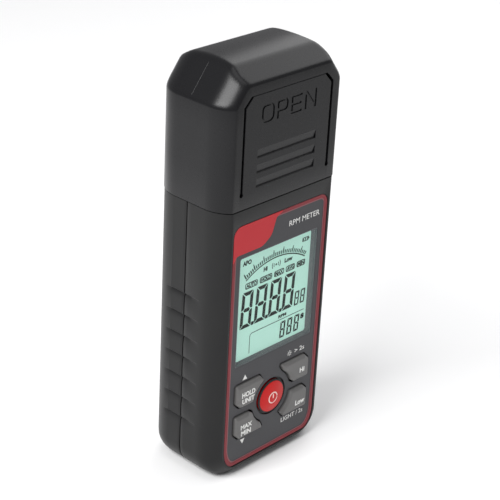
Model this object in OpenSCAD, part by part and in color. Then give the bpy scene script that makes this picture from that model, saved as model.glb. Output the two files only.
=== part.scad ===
// Handheld optical tachometer with a slide-off cap over its optical head.
// Millimetres. X runs across the body, Y from the front panel to the back, Z up.
// The origin is at the middle of the bottom; the front panel faces -Y.

/* [Body] */
// Width of the body across its side flats
body_w = 60; // [59:0.5:62]
// Depth of the body, front face to back face
body_d = 36.5; // [36:0.5:38]
// Height of the seam where the cap meets the body
seam_z = 110.3; // [109:0.1:112]
// Wall thickness of the two housing shells
wall = 2.2; // [2:0.1:2.4]

/* [Cap] */
// Width of the cap across its side flats
cap_w = 60.6; // [60:0.1:62.5]
// Height of the whole object with the cap on
total_h = 161; // [160:0.5:163]
// Wall thickness of the cap
cap_wall = 2; // [1.8:0.1:2.1]
// Width of the slits beside the release tongue
slit_w = 1.1; // [0.6:0.1:1.3]

/* [Front panel] */
// How far the keys stand proud of the front face
key_proud = 1; // [0.6:0.1:1.4]
// How far the printed panel lies below the front face
panel_sink = 0.4; // [0.2:0.1:0.5]
// Thickness of the printed panel
panel_t = 0.6; // [0.4:0.1:0.7]
// Diameter of the power key
power_key_d = 13.2; // [12:0.1:14]
// How far a key travels when it is pressed
key_travel = 0.8; // [0.5:0.1:0.8]

/* [Batteries] */
// Diameter of one AAA cell
cell_d = 10.4; // [10.2:0.1:10.5]
// Length of one AAA cell, with its button
cell_len = 44.5; // [44:0.1:44.5]

/* [Hidden] */

// Clearance between pieces that move past each other
gap = 0.4;
// A little more than nothing, to make cuts run past a face
over = 0.5;

// Y of the faces; the keys' tops and the back face are the same distance from the origin
half_d = (body_d + key_proud) / 2;
key_y = -half_d;
front_y = key_y + key_proud;
back_y = half_d;
panel_y = front_y + panel_sink;
panel_back_y = panel_y + panel_t;
wall_y = front_y + wall;
body_half = body_w / 2;
cap_half = cap_w / 2;

// Rounded vertical corners of the cross-section
front_r = 11.8;
back_r = 12;
front_corner_y = front_y + 9.25;
back_corner_y = back_y - back_r;

// Rounded foot of the body
foot_r = 10;
foot_chamfer = 3.3;
mitre_x = 22.5;
back_round = 5;

// Inside of the body
floor_z = 5.5;
cavity_foot_z = 3;
cavity_foot_r = 8.5;
lip_z0 = 16;
lip_z1 = 107.8;

// Head that the cap covers
head_inset = 2.4;
head_wall = 1.8;
head_top = 145;
head_roof = 2;
shoulder_z = seam_z - 0.3;
shoulder_t = 2.2;
pocket_half = 22.8;
pocket_floor_y = wall_y + 2.4;
pocket_wall_y = pocket_floor_y + 1.8;
pocket_z = 117.4;

// Cap roof
cap_shoulder_z = 148.4;
ridge_z = 155.3;
ridge_half = 20.7;
crown = 0.8;
crown_half_d = 10;
crown_half = 19.3;
roof_cavity_half = 19;
roof_cavity_half_d = 11.2;

// Release tongue
tongue_half = 22.4 - slit_w;
hinge_z = 116.4;
tongue_z1 = 150.8;
tongue_corner = 3.4;
tongue_slit_top = 0.4;
tongue_room = 1.9;
slit_hole_r = 0.95;
grip_half = 14.8;
grip_depth = 0.7;
grip_len = 3.2;
grip_z = [117, 122.3, 127.9];
letter_z = 140.15;
letter_h = 6.7;
letter_cut = 0.5;
stroke = 0.8;

// Printed panel and display
panel_half = 24.4;
panel_z0 = 4.5;
panel_z1 = 104.3;
panel_top_r = 4;
panel_foot_x = 4.8;
panel_foot_z = 8.5;
window_half = 20.3;
window_z0 = 46.9;
window_z1 = 91.2;
view_half = 18.6;
view_z0 = 48.1;
view_z1 = 90;
lcd_y = front_y + 2;
lcd_t = 2.4;
lcd_half = 21;
lcd_z0 = 46;
lcd_z1 = 92;
frame_half = 21.4;
frame_z0 = 45.6;
frame_z1 = 92.5;
backlight_t = 2;
backlight_z0 = 49;

// Keys
power_z = 27.4;
key_half = 19.6;
key_z0 = 29.2;
key_z1 = 39;
key_arc_r = 10.4;
key_corner = 2.4;
key_gap = 0.45;
key_lip = 0.8;
key_lip_t = 0.8;
key_lip_y = wall_y + 0.35;
key_step = 0.6;

// Circuit board and what is on it
board_t = 1.6;
board_y = -10.6;
board_half = 25.6;
board_z0 = 9;
board_z1 = 105;
mat_t = 0.8;
dome_r = 3;
dome_y = key_lip_y + key_lip_t + key_travel + gap;

// Housing screws
screw_r = 1.2;
screw_head_r = 2.4;
screw_head_t = 1.8;
boss_r = 2.9;
low_screw = [18.5, 8.7];
high_screw = [21.4, 98];
screw_seat_y = 8;

// Battery bay and door
bay_half = 17.2;
bay_z0 = 14.8;
bay_floor_y = 3.2;
bay_wall = 1.2;
plate_t = 0.4;
spring_len = 4.1;
bay_len = cell_len + spring_len + 2 * plate_t;
bay_z1 = bay_z0 + bay_len;
cell_y = bay_floor_y + 0.3 + cell_d / 2;
cell_pitch = 11;
door_t = 2;
door_half = 17.6;
door_z0 = 13;
door_z1 = 72;
door_screw_z = bay_z1 + 2.8;
door_screw_r = 1.25;
door_screw_head_r = 2.6;
door_seat_y = back_y - 1.4;

// Optics in the head
optic_y = 1;
optic_half = 19;
optic_half_d = 8;
laser_x = -11;
laser_r = 4;
receiver_x = 8;
receiver_r = 6.4;
holder_z0 = 126;
holder_z1 = head_top - head_roof;

// Grip grooves on both sides
groove_count = 7;
groove_z0 = 22.5;
groove_pitch = 8.6;
groove_depth = 0.6;
groove_h = 3.2;
groove_y0 = -7.5;
groove_y1 = 7;

module along_y(y0, y1) {
    translate([0, y1, 0]) rotate([90, 0, 0]) linear_extrude(y1 - y0) children();
}

module along_x(x0, x1) {
    translate([x0, 0, 0]) rotate([90, 0, 90]) linear_extrude(x1 - x0) children();
}

module block(x0, x1, y0, y1, z0, z1) {
    translate([x0, y0, z0]) cube([x1 - x0, y1 - y0, z1 - z0]);
}

module rod_y(x, z, r, y0, y1) {
    translate([x, y1, z]) rotate([90, 0, 0]) cylinder(r = r, h = y1 - y0, $fn = 48);
}

module mirrored() {
    children();
    mirror([1, 0, 0]) children();
}

// Cross-section of the object: flat front and back, rounded corners that meet the
// front face at a crease and the back face smoothly
module cross_section(half, inset) {
    y0 = front_y + inset;
    y1 = back_y - inset;
    intersection() {
        translate([inset - half, y0]) square([2 * (half - inset), y1 - y0]);
        union() {
            translate([back_r - half, y0]) square([2 * (half - back_r), y1 - y0]);
            translate([inset - half, front_corner_y])
                square([2 * (half - inset), back_corner_y - front_corner_y]);
            for (side = [-1, 1]) {
                translate([side * (half - front_r), front_corner_y])
                    circle(r = front_r - inset, $fn = 96);
                translate([side * (half - back_r), back_corner_y])
                    circle(r = back_r - inset, $fn = 96);
            }
        }
    }
}

// Outline of a piece with rounded bottom corners, in X and Z
function footed(half, z0, z1, r) = concat(
    [for (a = [180 : 15 : 270]) [r - half + r * cos(a), z0 + r + r * sin(a)]],
    [for (a = [270 : 15 : 360]) [half - r + r * cos(a), z0 + r + r * sin(a)]],
    [[half, z1], [-half, z1]]
);

// Outline of the body from the side, in Y and Z: chamfered in front, round at the back
module side_outline() {
    polygon(concat(
        [[front_y, shoulder_z], [front_y, foot_chamfer], [front_y + foot_chamfer, 0]],
        [for (a = [0 : 10 : 90])
            [back_y + back_round * (sin(a) - 1), back_round * (1 - cos(a))]],
        [[back_y, shoulder_z]]
    ));
}

// Body up to its shoulder; the chamfer of the front edge goes on round its lower corners
module lower_body() {
    difference() {
        intersection() {
            linear_extrude(shoulder_z) cross_section(body_half, 0);
            along_y(front_y, back_y) polygon(footed(body_half, 0, shoulder_z, foot_r));
            along_x(-body_half, body_half) side_outline();
        }
        mirrored() translate([mitre_x, front_y, foot_chamfer]) rotate([0, 120, -54.7356])
            translate([-15, -15, 0]) cube([30, 30, 20]);
    }
}

// Both shells as one hollow solid, before they are parted
module housing_solid() {
    difference() {
        union() {
            lower_body();
            translate([0, 0, shoulder_z - 1])
                linear_extrude(head_top - shoulder_z + 1) cross_section(body_half, head_inset);
        }
        intersection() {
            translate([0, 0, floor_z]) linear_extrude(shoulder_z - shoulder_t - floor_z)
                cross_section(body_half, wall);
            along_y(front_y, back_y)
                polygon(footed(body_half - wall, cavity_foot_z, shoulder_z, cavity_foot_r));
        }
        translate([0, 0, shoulder_z - shoulder_t - 1])
            linear_extrude(head_top - head_roof - shoulder_z + shoulder_t + 1)
            cross_section(body_half, head_inset + head_wall);
        block(-optic_half, optic_half, optic_y - optic_half_d, optic_y + optic_half_d,
              head_top - head_roof - 1, head_top + over);
        mirrored() for (i = [0 : groove_count - 1]) {
            translate([0, 0, groove_z0 + groove_pitch * i]) along_y(groove_y0, groove_y1)
                polygon([
                    [body_half + over, 0.3], [body_half - groove_depth, 0],
                    [body_half, -groove_h], [body_half + over, -groove_h]
                ]);
        }
    }
}

// Outline of a key beside the power key, grown inwards by m; its inner edge is an
// arc about the power key. A blunt key has a chamfered inner corner, a sharp one a tip.
function arc_to(r, a0, a1) = [for (i = [0 : 6])
    let (a = a0 + (a1 - a0) * i / 6) [r * cos(a), power_z + r * sin(a)]];

function blunt_key(m) = concat(
    [[m - key_half, key_z1 - m], [-6.9 - 0.4 * m, key_z1 - m]],
    arc_to(key_arc_r + m, 118 + 3 * m, 170 - 4 * m),
    [[key_corner - key_half + 0.4 * m, key_z0 + m], [m - key_half, key_z0 + key_corner + 0.4 * m]]
);

function sharp_key(m) = concat(
    [[key_half - m, key_z0 + m], [12 + m, key_z0 + m]],
    arc_to(key_arc_r + 0.2 + m, 17 + 4 * m, 57 - 3 * m),
    [[4.5 + 2 * m, key_z1 - m], [key_half - key_corner - 0.4 * m, key_z1 - m],
     [key_half - m, key_z1 - key_corner - 0.4 * m]]
);

// Half a turn about the power key takes the upper keys to the lower ones
module opposite() {
    translate([0, 2 * power_z]) rotate(180) children();
}

module key_outlines(m) {
    polygon(blunt_key(m));
    polygon(sharp_key(m));
    opposite() polygon(blunt_key(m));
    opposite() polygon(sharp_key(m));
    translate([0, power_z]) circle(r = power_key_d / 2 - m, $fn = 64);
}

// Outline of the printed panel: round upper corners, long elliptical lower corners
module panel_outline(m) {
    half = panel_half - m;
    low = panel_z0 + m;
    high = panel_z1 - m;
    polygon(concat(
        [for (a = [180 : 15 : 270])
            [panel_foot_x - half + panel_foot_x * cos(a), low + panel_foot_z * (1 + sin(a))]],
        [for (a = [270 : 15 : 360])
            [half - panel_foot_x + panel_foot_x * cos(a), low + panel_foot_z * (1 + sin(a))]],
        [for (a = [0 : 15 : 90])
            [half - panel_top_r * (1 - cos(a)), high - panel_top_r * (1 - sin(a))]],
        [for (a = [90 : 15 : 180])
            [panel_top_r * (1 + cos(a)) - half, high - panel_top_r * (1 - sin(a))]]
    ));
}

module screw_places() {
    for (side = [-1, 1]) {
        translate([side * low_screw[0], 0, low_screw[1]]) children();
        translate([side * high_screw[0], 0, high_screw[1]]) children();
    }
}

module front_housing() {
    color("#2b2b2d") difference() {
        union() {
            intersection() {
                housing_solid();
                block(-40, 40, -40, -0.15, -1, head_top + 1);
            }
            // Thick wall behind the release tongue
            block(-pocket_half - 1, pocket_half + 1, wall_y + 0.4, pocket_wall_y,
                  shoulder_z - 1, head_top - 0.5);
            screw_places() rod_y(0, 0, boss_r, wall_y - 1, -0.15);
        }
        // Pocket that the tongue moves into, open at the top
        block(-pocket_half, pocket_half, front_y, pocket_floor_y, pocket_z, head_top + over);
        // Seat of the printed panel, display opening, key holes
        along_y(front_y - over, panel_back_y) panel_outline(-0.1);
        block(-frame_half - 0.2, frame_half + 0.2, front_y, wall_y + over,
              frame_z0 - 0.2, frame_z1 + 0.2);
        along_y(front_y, wall_y + over) key_outlines(-key_gap);
        // Rebate for the rear shell's lip
        mirrored() block(body_half - wall - over, body_half - 1.2, -1.6, 0, lip_z0 - 0.2, lip_z1 + 0.2);
        screw_places() rod_y(0, 0, screw_r + 0.05, -12, 0);
    }
    // Catch ledge for the cap at the top of the pocket
    color("#2b2b2d") block(-8, 8, pocket_floor_y - 1.2, pocket_floor_y + 0.5, 142.4, 144.4);
}

module rear_housing() {
    color("#262628") difference() {
        union() {
            difference() {
                intersection() {
                    housing_solid();
                    block(-40, 40, 0.15, 40, -1, head_top + 1);
                }
                block(-door_half - gap, door_half + gap, back_y - wall - over, back_y + over,
                      door_z0 - gap, door_z1 + gap);
            }
            // Lips that locate the front shell
            mirrored() block(body_half - wall, body_half - 1.3, -1.4, 1.5, lip_z0, lip_z1);
            mirrored() block(body_half - wall - 1, body_half - 1.3, 0.15, 1.5, lip_z0, lip_z1);
            // Seat of the door and walls of the battery bay
            block(-door_half - 1.6, door_half + 1.6, back_y - door_t - 2, back_y - door_t - 0.3,
                  door_z0 - 1.6, door_z1 + 1.6);
            block(-bay_half - bay_wall, bay_half + bay_wall, bay_floor_y - bay_wall,
                  back_y - door_t - 1, bay_z0 - bay_wall, bay_z1 + bay_wall);
            rod_y(0, door_screw_z, 3, bay_floor_y + 3, back_y - door_t - 0.3);
            screw_places() rod_y(0, 0, boss_r, 0.15, back_y - 2.6);
        }
        block(-bay_half, bay_half, bay_floor_y, back_y, bay_z0, bay_z1);
        rod_y(0, door_screw_z, door_screw_r + 0.05, bay_floor_y + 4.5, back_y);
        screw_places() rod_y(0, 0, screw_r + 0.15, 0, back_y);
        screw_places() rod_y(0, 0, screw_head_r + 0.2, screw_seat_y, back_y + over);
    }
}

// Solid roof of the cap: wide bevels at the sides, shallow chamfers front and back,
// a crowned top with rounded side edges
module cap_roof() {
    slice = 0.02;
    rounding = [[0, 0], [1.62, 0.37], [2.9, 1.4]];
    hull() {
        translate([0, 0, cap_shoulder_z - slice]) linear_extrude(slice) cross_section(cap_half, 0);
        block(-ridge_half, ridge_half, front_y, back_y, ridge_z - slice, ridge_z);
        for (y = [-crown_half_d : 2.5 : crown_half_d]) {
            for (step = rounding) {
                z = total_h - crown * pow(y / crown_half_d, 2) - step[1];
                block(-crown_half - step[0], crown_half + step[0], y + 0.5 - slice, y + 0.5 + slice,
                      z - slice, z);
            }
        }
    }
}

module tongue_outline(half, z0, z1) {
    polygon([
        [-half, z0], [half, z0], [half, z1 - tongue_corner], [half - tongue_corner, z1],
        [tongue_corner - half, z1], [-half, z1 - tongue_corner]
    ]);
}

module cap() {
    color("#303033") difference() {
        union() {
            translate([0, 0, seam_z]) linear_extrude(cap_shoulder_z - seam_z)
                cross_section(cap_half, 0);
            cap_roof();
        }
        translate([0, 0, seam_z - over]) linear_extrude(cap_shoulder_z - 1 - seam_z + over)
            cross_section(cap_half, cap_wall);
        block(-roof_cavity_half, roof_cavity_half, 0.25 - roof_cavity_half_d, 0.25 + roof_cavity_half_d,
              cap_shoulder_z - 2, ridge_z + crown - 0.1);
        // Opening that the tongue fills, with a round end to each slit and room behind it
        along_y(front_y - over, front_y + cap_wall + tongue_room)
            tongue_outline(tongue_half + slit_w, hinge_z - cap_wall / 2 - gap,
                           tongue_z1 + tongue_slit_top);
        mirrored() rod_y(tongue_half + slit_w / 2, hinge_z, slit_hole_r,
                         front_y - over, front_y + cap_wall + over);
    }
}

// One straight stroke of an engraved letter, in X and Z
module letter_line(x0, z0, x1, z1) {
    len = sqrt(pow(x1 - x0, 2) + pow(z1 - z0, 2));
    translate([x0, z0]) rotate(atan2(z1 - z0, x1 - x0))
        translate([-stroke / 2, -stroke / 2]) square([len + stroke, stroke]);
}

// The word OPEN, drawn with strokes; x0 is the left edge of a letter
module open_word() {
    top = letter_h;
    mid = letter_h / 2;
    w = 5;
    pitch = 7.2;
    translate([-13.2, 0]) difference() {
        square([w + 0.8, top]);
        translate([stroke, stroke]) square([w + 0.8 - 2 * stroke, top - 2 * stroke]);
    }
    translate([pitch - 12.4, stroke / 2]) {
        letter_line(0, 0, 0, top - stroke);
        letter_line(0, top - stroke, w - 1, top - stroke);
        letter_line(0, mid - stroke / 2, w - 1, mid - stroke / 2);
        letter_line(w - 1, mid - stroke / 2, w - 1, top - stroke);
    }
    translate([2 * pitch - 12.6, stroke / 2]) {
        letter_line(0, 0, 0, top - stroke);
        for (z = [0, mid - stroke / 2, top - stroke]) {
            letter_line(0, z, w - 0.8, z);
        }
    }
    translate([3 * pitch - 12.9, stroke / 2]) {
        letter_line(0, 0, 0, top - stroke);
        letter_line(w, 0, w, top - stroke);
        letter_line(0, top - stroke, w, 0);
    }
}

module cap_tongue() {
    color("#38383b") difference() {
        union() {
            along_y(front_y, front_y + cap_wall) tongue_outline(tongue_half, hinge_z, tongue_z1);
            // Round lower edge about the line that the tongue bends on
            translate([-tongue_half, front_y + cap_wall / 2, hinge_z]) rotate([0, 90, 0])
                cylinder(r = cap_wall / 2, h = 2 * tongue_half, $fn = 48);
        }
        along_y(front_y - over, front_y + letter_cut) translate([0, letter_z]) open_word();
        // Thumb grips, deepest along their lower edges
        for (z = grip_z) {
            translate([0, 0, z]) along_x(-grip_half, grip_half)
                polygon([[front_y - over, 0], [front_y + grip_depth, 0], [front_y, grip_len],
                         [front_y - over, grip_len]]);
        }
    }
    // Catch on the inside of the tongue
    color("#38383b") block(-6, 6, front_y + cap_wall - 0.5, front_y + cap_wall + 1, 139.4, 141.4);
}

module front_panel() {
    color("#4a4a4d") difference() {
        along_y(panel_y, panel_back_y) panel_outline(0);
        block(-window_half, window_half, front_y, wall_y, window_z0, window_z1);
        along_y(front_y, wall_y) key_outlines(-key_gap - 0.2);
    }
}

module display_window() {
    fit = 0.05;
    color("#dfe8e8", 0.35) block(fit - window_half, window_half - fit, panel_y, panel_back_y,
                                 window_z0 + fit, window_z1 - fit);
}

// Grey moulded frame whose four inner faces slope down to the display glass
module lcd_frame() {
    slope_y = lcd_y - panel_back_y;
    color("#77757a") difference() {
        block(-frame_half, frame_half, panel_back_y, lcd_y, frame_z0, frame_z1);
        block(-view_half, view_half, front_y, wall_y, view_z0, view_z1);
        mirrored() along_z_wedge(window_half, view_half, window_z0, window_z1);
        along_x(-window_half, window_half) polygon([
            [panel_back_y - over, window_z1], [panel_back_y, window_z1],
            [panel_back_y + slope_y, view_z1], [panel_back_y + slope_y, view_z0],
            [panel_back_y, window_z0], [panel_back_y - over, window_z0]
        ]);
    }
}

module along_z_wedge(outer, inner, z0, z1) {
    translate([0, 0, z0]) linear_extrude(z1 - z0) polygon([
        [0, panel_back_y - over], [outer, panel_back_y - over], [outer, panel_back_y],
        [inner, lcd_y], [0, lcd_y]
    ]);
}

module lcd_glass() {
    color("#aadacd") block(-lcd_half, lcd_half, lcd_y, lcd_y + lcd_t, lcd_z0, lcd_z1);
}

module backlight_panel() {
    color("#f2f2ea") block(-lcd_half, lcd_half, lcd_y + lcd_t, lcd_y + lcd_t + backlight_t,
                           backlight_z0, lcd_z1);
}

module lcd_connector() {
    color("#d9b3a8") block(-18, 18, lcd_y + lcd_t, board_y, lcd_z0 + 0.3, backlight_z0 - 0.6);
}

module keypad_mat() {
    color("#8a8a86") {
        block(-23, 23, board_y - mat_t, board_y, 12.5, 42);
        for (place = [[-14, 34], [14, 34], [-14, 21], [14, 21], [0, power_z]]) {
            rod_y(place[0], place[1], dome_r, dome_y, board_y - mat_t / 2);
        }
    }
}

// Key top with a step for its bevelled edge, a shank through the wall and a lip behind it
module side_key() {
    along_y(key_y + key_step, key_lip_y + key_lip_t) children(0);
    along_y(key_y, key_y + key_step + 0.1) children(1);
    along_y(key_lip_y, key_lip_y + key_lip_t) children(2);
}

module hold_key() {
    color("#7a7873") side_key() {
        polygon(blunt_key(0));
        polygon(blunt_key(key_step));
        polygon(blunt_key(-key_lip));
    }
}

module hi_key() {
    color("#7a7873") side_key() {
        polygon(sharp_key(0));
        polygon(sharp_key(key_step));
        polygon(sharp_key(-key_lip));
    }
}

module max_min_key() {
    color("#7a7873") side_key() {
        opposite() polygon(sharp_key(0));
        opposite() polygon(sharp_key(key_step));
        opposite() polygon(sharp_key(-key_lip));
    }
}

module low_key() {
    color("#7a7873") side_key() {
        opposite() polygon(blunt_key(0));
        opposite() polygon(blunt_key(key_step));
        opposite() polygon(blunt_key(-key_lip));
    }
}

// Round key with a domed face
module power_key() {
    r = power_key_d / 2;
    dome_sphere_r = 24;
    color("#d8202a") {
        intersection() {
            rod_y(0, power_z, r, key_y, key_lip_y + key_lip_t);
            translate([0, key_y + dome_sphere_r, power_z]) sphere(r = dome_sphere_r, $fn = 96);
        }
        rod_y(0, power_z, r + key_lip, key_lip_y, key_lip_y + key_lip_t);
    }
}

module main_board() {
    color("#1f6b45") difference() {
        block(-board_half, board_half, board_y, board_y + board_t, board_z0, board_z1);
        screw_places() rod_y(0, 0, boss_r + 0.4, board_y - over, board_y + board_t + over);
    }
}

module microcontroller() {
    color("#1b1b1d") block(-6, 6, board_y + board_t, board_y + board_t + 1.4, 62, 74);
}

module board_parts() {
    y0 = board_y + board_t;
    color("#3c3f45") {
        for (place = [[-16, 80], [-16, 70], [14, 60], [14, 50], [-12, 46]]) {
            rod_y(place[0], place[1], 2, y0, y0 + 2.8);
        }
        for (z = [20 : 6 : 38]) {
            block(-18, -15, y0, y0 + 1, z, z + 1.6);
            block(10, 13, y0, y0 + 1, z, z + 1.6);
        }
        block(-4, 4, y0, y0 + 2.2, 84, 88);
    }
}

module buzzer() {
    y0 = board_y + board_t;
    color("#202022") difference() {
        rod_y(9, 95, 5.5, y0, y0 + 3.2);
        rod_y(9, 95, 0.8, y0 + 2, y0 + 4);
    }
}

module optical_window() {
    fit = 0.1;
    color("#7d1c22", 0.5) block(fit - optic_half, optic_half - fit, optic_y - optic_half_d + fit,
                                optic_y + optic_half_d - fit, holder_z1 + 0.1, head_top - 0.3);
}

module lens_holder() {
    color("#1d1d20") difference() {
        block(-21, 21, optic_y - 8.5, optic_y + 8.5, holder_z0, holder_z1);
        translate([laser_x, optic_y, 0]) cylinder(r = laser_r + 0.05, h = head_top, $fn = 64);
        translate([receiver_x, optic_y, 0]) cylinder(r = receiver_r + 0.05, h = head_top, $fn = 64);
    }
}

module laser_module() {
    color("#b8923c") translate([laser_x, optic_y, 0]) difference() {
        translate([0, 0, 119]) cylinder(r = laser_r, h = 22.5, $fn = 64);
        translate([0, 0, 139.5]) cylinder(r = 2.6, h = 3, $fn = 48);
    }
}

module laser_lens() {
    color("#cfe3ea", 0.5) translate([laser_x, optic_y, 139.5]) cylinder(r = 2.55, h = 1.2, $fn = 48);
}

// Plano-convex lens, flat side down
module receiver_lens() {
    lens_r = 14;
    color("#cfe3ea", 0.5) translate([receiver_x, optic_y, 0]) intersection() {
        translate([0, 0, 138]) cylinder(r = receiver_r, h = 4.4, $fn = 64);
        translate([0, 0, 142.2 - lens_r]) sphere(r = lens_r, $fn = 96);
    }
}

module photodiode() {
    color("#101014") block(receiver_x - 2.5, receiver_x + 2.5, optic_y - 2.5, optic_y + 2.5,
                           holder_z0 + 0.1, holder_z0 + 2);
}

module sensor_board() {
    color("#1f6b45") difference() {
        block(-20, 20, optic_y - 7.5, optic_y + 7.5, holder_z0 - board_t, holder_z0);
        translate([laser_x, optic_y, holder_z0 - 3]) cylinder(r = laser_r + 0.3, h = 6, $fn = 64);
    }
}

// Flat flexible lead from the main board up to the sensor board
module sensor_flex() {
    y0 = board_y + board_t;
    t = 0.3;
    color("#c98a2e") along_x(-9, 3) polygon([
        [y0, 98], [y0 + t, 98], [y0 + t, 108], [optic_y - 5 + t, 118],
        [optic_y - 5 + t, holder_z0 - board_t], [optic_y - 5, holder_z0 - board_t],
        [optic_y - 5, 118], [y0, 108]
    ]);
}

module battery_door() {
    color("#2b2b2d") difference() {
        block(-door_half, door_half, back_y - door_t, back_y, door_z0, door_z1);
        rod_y(0, door_screw_z, door_screw_r + 0.05, back_y - door_t - over, back_y);
        rod_y(0, door_screw_z, door_screw_head_r + 0.35, door_seat_y, back_y + over);
        // Thumb grooves
        for (i = [0 : 4]) {
            block(-9, 9, back_y - 0.5, back_y + over, 18 + 2.4 * i, 19.2 + 2.4 * i);
        }
    }
}

module battery_screw() {
    color("#9a9a9c") difference() {
        union() {
            rod_y(0, door_screw_z, door_screw_r, bay_floor_y + 5.5, door_seat_y + 0.1);
            rod_y(0, door_screw_z, door_screw_head_r, door_seat_y + 0.05, back_y - 0.15);
        }
        block(-1.8, 1.8, back_y - 0.9, back_y + 1, door_screw_z - 0.3, door_screw_z + 0.3);
        block(-0.3, 0.3, back_y - 0.9, back_y + 1, door_screw_z - 1.8, door_screw_z + 1.8);
    }
}

// AAA cell standing on z = 0, button up
module cell() {
    color("#4f5a66") cylinder(r = cell_d / 2, h = cell_len - 1, $fn = 64);
    color("#c9c9cc") cylinder(r = 1.9, h = cell_len, $fn = 48);
}

module battery_cell_1() {
    translate([-cell_pitch, cell_y, bay_z0 + plate_t + spring_len]) cell();
}

module battery_cell_2() {
    translate([0, cell_y, bay_z1 - plate_t - spring_len]) rotate([180, 0, 0]) cell();
}

module battery_cell_3() {
    translate([cell_pitch, cell_y, bay_z0 + plate_t + spring_len]) cell();
}

// Conical coil spring of round wire, as one swept tube
module coil_spring(base_r, tip_r, len, turns, wire_r) {
    sides = 6;
    rings = 14 * turns;
    points = [for (i = [0 : rings], k = [0 : sides - 1])
        let (t = i / rings, a = 360 * turns * t, b = 360 * k / sides,
             r = base_r + (tip_r - base_r) * t + wire_r * cos(b),
             z = wire_r + (len - 2 * wire_r) * t + wire_r * sin(b))
        [r * cos(a), r * sin(a), z]];
    faces = concat(
        [[for (k = [0 : sides - 1]) k]],
        [for (i = [0 : rings - 1], k = [0 : sides - 1])
            let (a = i * sides + k, b = i * sides + (k + 1) % sides)
            [a, a + sides, b + sides, b]],
        [[for (k = [0 : sides - 1]) rings * sides + sides - 1 - k]]
    );
    polyhedron(points, faces);
}

module contact_springs() {
    color("#c4c4c6") {
        for (side = [-1, 1]) {
            translate([side * cell_pitch, cell_y, bay_z0 + plate_t])
                coil_spring(3.8, 2.2, spring_len, 3, 0.3);
        }
        translate([0, cell_y, bay_z1 - plate_t]) rotate([180, 0, 0])
            coil_spring(3.8, 2.2, spring_len, 3, 0.3);
    }
}

module contact_plates() {
    color("#c4c4c6") {
        for (x = [-cell_pitch, 0, cell_pitch], z = [bay_z0, bay_z1 - plate_t]) {
            block(x - 4.5, x + 4.5, cell_y - 4.5, cell_y + 4.5, z, z + plate_t);
        }
    }
}

module housing_screws() {
    color("#8f8f92") screw_places() difference() {
        union() {
            rod_y(0, 0, screw_r, -10, screw_seat_y + 0.1);
            rod_y(0, 0, screw_head_r, screw_seat_y, screw_seat_y + screw_head_t);
        }
        block(-1.6, 1.6, screw_seat_y + 1, screw_seat_y + 3, -0.3, 0.3);
        block(-0.3, 0.3, screw_seat_y + 1, screw_seat_y + 3, -1.6, 1.6);
    }
}

front_housing();
rear_housing();
cap();
cap_tongue();
front_panel();
display_window();
lcd_frame();
lcd_glass();
backlight_panel();
lcd_connector();
keypad_mat();
power_key();
hold_key();
max_min_key();
hi_key();
low_key();
main_board();
microcontroller();
board_parts();
buzzer();
optical_window();
lens_holder();
laser_module();
laser_lens();
receiver_lens();
photodiode();
sensor_board();
sensor_flex();
battery_door();
battery_screw();
battery_cell_1();
battery_cell_2();
battery_cell_3();
contact_springs();
contact_plates();
housing_screws();
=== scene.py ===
# Handheld optical tachometer with a slide-off cap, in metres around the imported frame.
# Sections follow the way it is put together: shells, cap and tongue, panel, display,
# keys, battery door and cells, electronics, optical head, metal parts, and the studio.
import math

import bmesh
import bpy
from mathutils import Matrix, Vector
from mathutils.geometry import tessellate_polygon


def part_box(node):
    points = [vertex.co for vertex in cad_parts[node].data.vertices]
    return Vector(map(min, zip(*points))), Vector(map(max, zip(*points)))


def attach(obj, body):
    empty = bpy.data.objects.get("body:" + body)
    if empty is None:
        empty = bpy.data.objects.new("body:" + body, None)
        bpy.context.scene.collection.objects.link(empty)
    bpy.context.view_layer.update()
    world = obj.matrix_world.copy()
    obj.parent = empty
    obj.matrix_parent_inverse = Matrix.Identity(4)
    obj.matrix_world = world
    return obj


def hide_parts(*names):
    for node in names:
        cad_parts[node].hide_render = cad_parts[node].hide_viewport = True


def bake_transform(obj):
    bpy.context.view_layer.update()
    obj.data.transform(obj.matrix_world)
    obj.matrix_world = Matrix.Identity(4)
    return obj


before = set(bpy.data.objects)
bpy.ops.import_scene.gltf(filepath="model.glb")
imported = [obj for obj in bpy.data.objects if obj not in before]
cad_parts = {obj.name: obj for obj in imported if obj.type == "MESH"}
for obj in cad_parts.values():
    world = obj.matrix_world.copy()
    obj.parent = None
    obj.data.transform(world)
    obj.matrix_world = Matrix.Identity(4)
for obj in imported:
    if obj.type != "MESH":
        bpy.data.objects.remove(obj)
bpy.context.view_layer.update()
MM = 0.001


# Front shell of the handset: black ABS, injection moulded in a finely spark-eroded
# tool. Its front edge is a wide rounded corner that meets the flat face at a crease,
# its foot is chamfered, and seven finger grooves are cut into each side.
body_half = 30.0
front_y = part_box("front_housing")[0].y / MM
back_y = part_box("rear_housing")[1].y / MM
shoulder_z = 110.0
wall = 2.2
parting = 0.15
front_r, front_reach = 11.8, 9.25
front_corner_y = front_y + front_reach
back_r = 12.0
back_corner_y = back_y - back_r
low_r, foot_chamfer, back_round = 10.0, 3.3, 5.0
panel_back_y = front_y + 1.0
wall_y = front_y + wall
groove_first, groove_pitch, groove_fade = 22.5, 8.6, 5.5
groove_tops = [groove_first + groove_pitch * i for i in range(7)]
groove_y = (-7.5, 7.0)
# Section of one groove from its top downwards: (height from its upper edge, depth)
groove_cut = [(0.34, 0.0), (0.16, 0.12), (0.04, 0.5), (-0.16, 0.6), (-1.0, 0.24), (-2.2, 0.06),
              (-3.3, 0.0)]
turn = [math.radians(90 * i / 8) for i in range(9)]


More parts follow.
